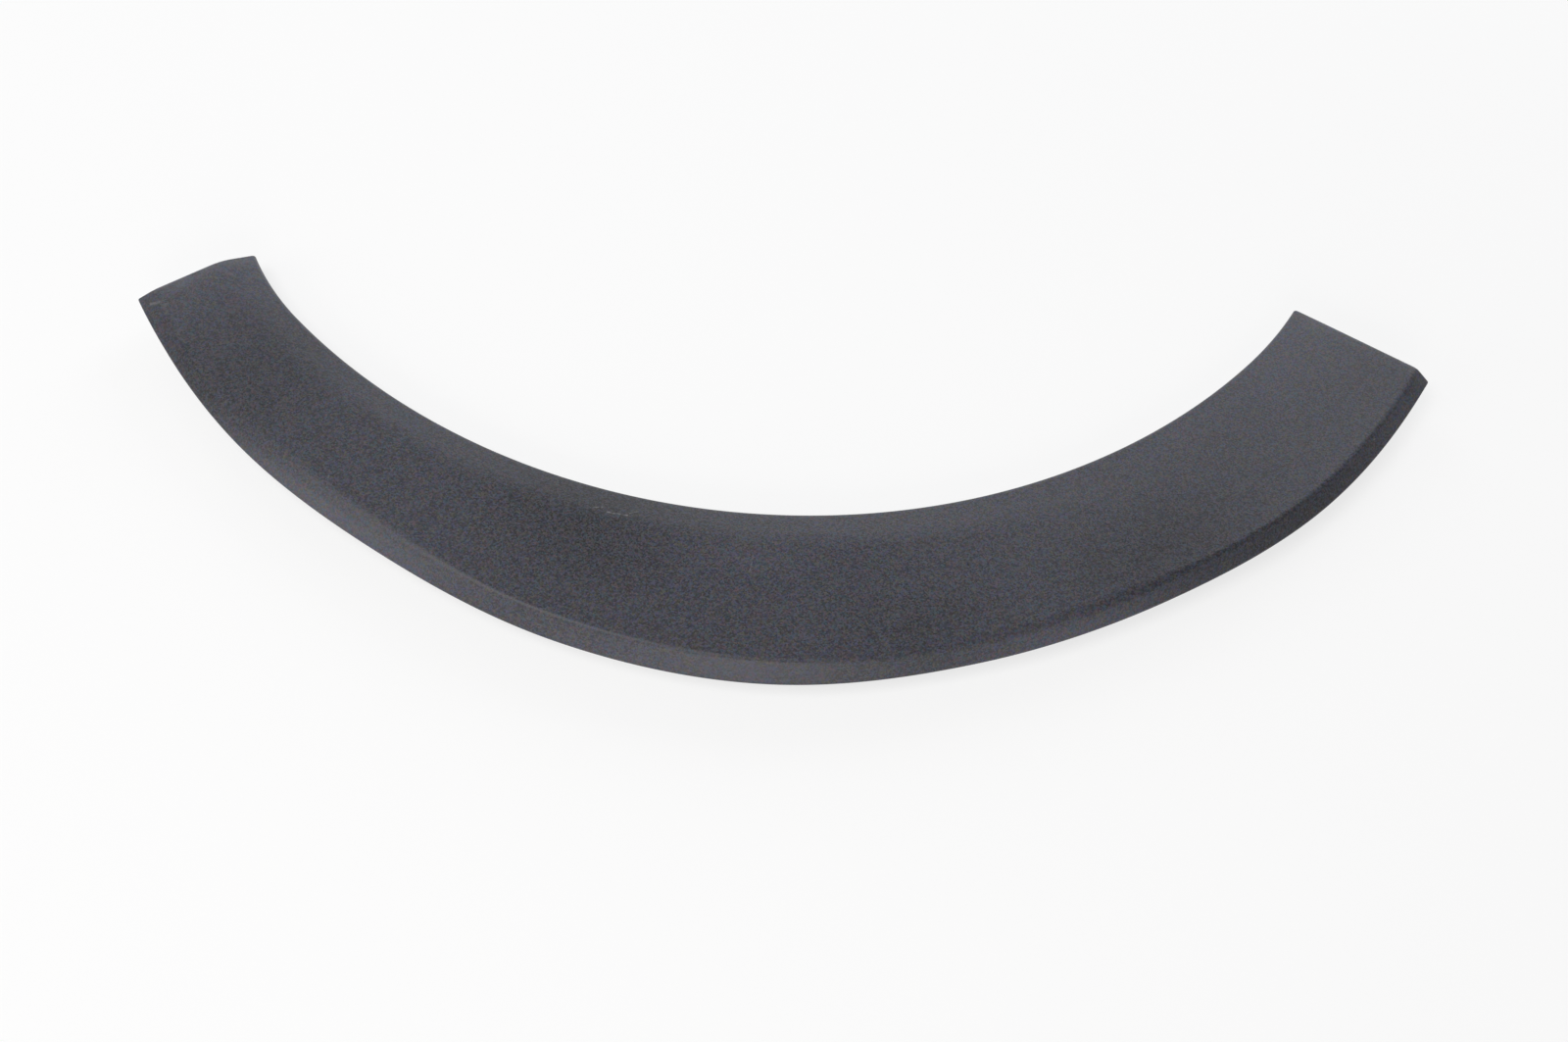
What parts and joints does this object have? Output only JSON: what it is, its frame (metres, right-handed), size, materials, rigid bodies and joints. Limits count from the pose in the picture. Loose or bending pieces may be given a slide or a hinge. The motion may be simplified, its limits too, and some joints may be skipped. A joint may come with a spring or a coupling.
{
  "type": "wheel arch trim",
  "caption": "Curved one-piece plastic trim for the top of a car's wheel opening, with a bevelled outer edge and an inner flange.",
  "frame": {"origin": "centre of the trim's outline in plan, on the plane that its inner flange rests on", "axes": "+Z out of the face that shows on the car, X along the chord between the two ends, -Y towards the top of the arch"},
  "size_m": [0.7292, 0.2676, 0.0245],
  "materials": {
    "grained_plastic": "fine moulded grain, dark grey, unpainted"
  },
  "bodies": {
    "root": {"arch_trim": "grained_plastic"}
  },
  "joints": []
}
